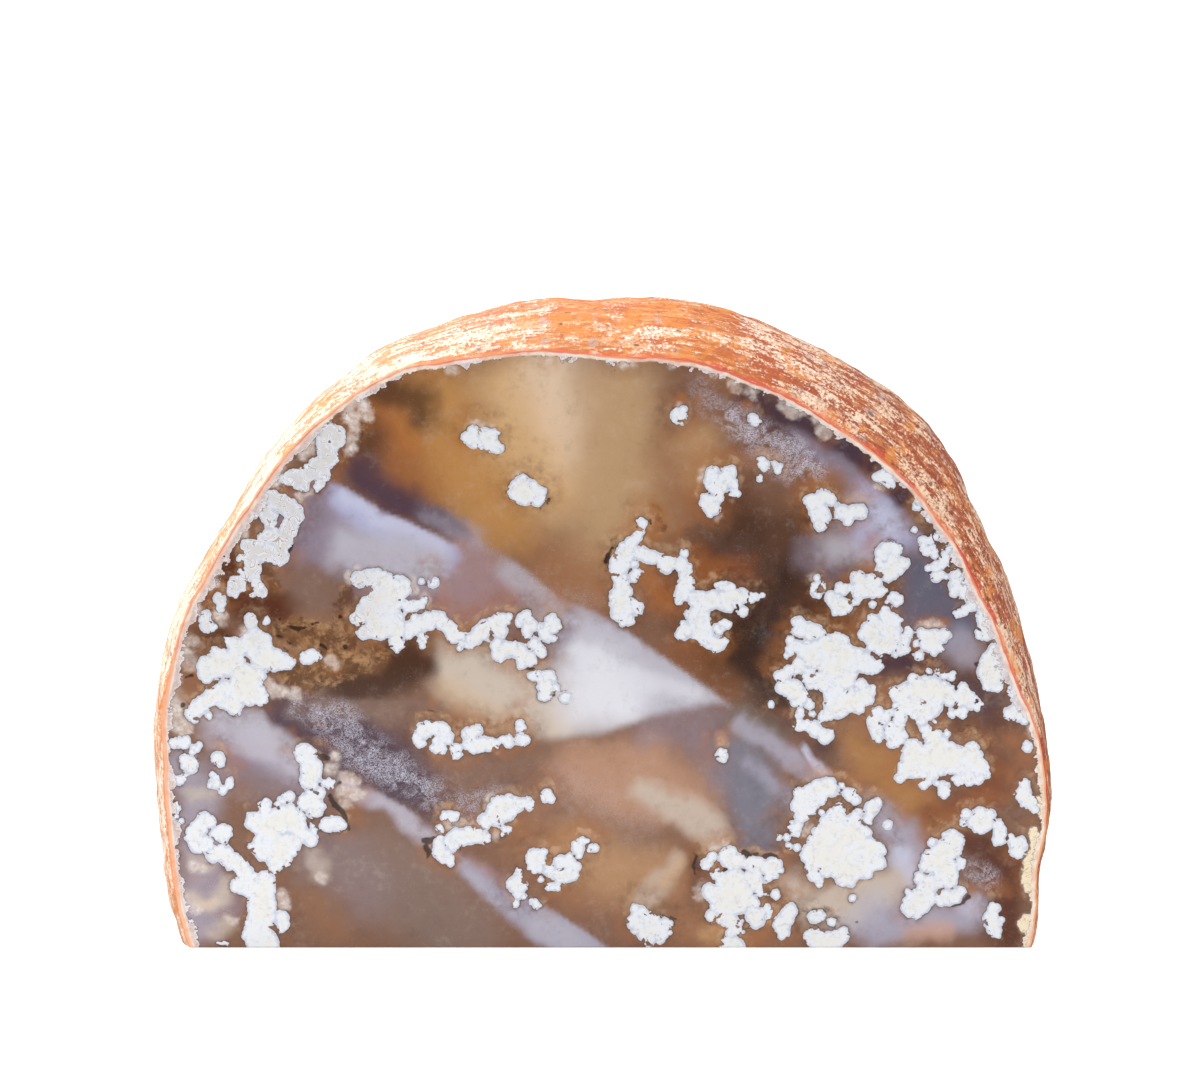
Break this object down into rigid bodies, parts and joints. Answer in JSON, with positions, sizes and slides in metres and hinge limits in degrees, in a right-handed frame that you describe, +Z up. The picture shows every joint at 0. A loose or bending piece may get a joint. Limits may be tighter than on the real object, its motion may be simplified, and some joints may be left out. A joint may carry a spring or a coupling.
{
  "type": "geode half",
  "caption": "Polished half of a rounded agate nodule with a rough orange rind, standing on a sawn flat base with its polished face upright.",
  "frame": {"origin": "centre of the footprint of the whole stone's box, on the sawn base that it stands on", "axes": "+X to the right along the polished face, -Y out of the polished face, +Z up"},
  "size_m": [0.1556, 0.06, 0.1133],
  "materials": {
    "agate": "polished on the face, sawn on the base, rough natural rind elsewhere"
  },
  "bodies": {
    "root": {"geode_half": "agate"}
  },
  "joints": []
}
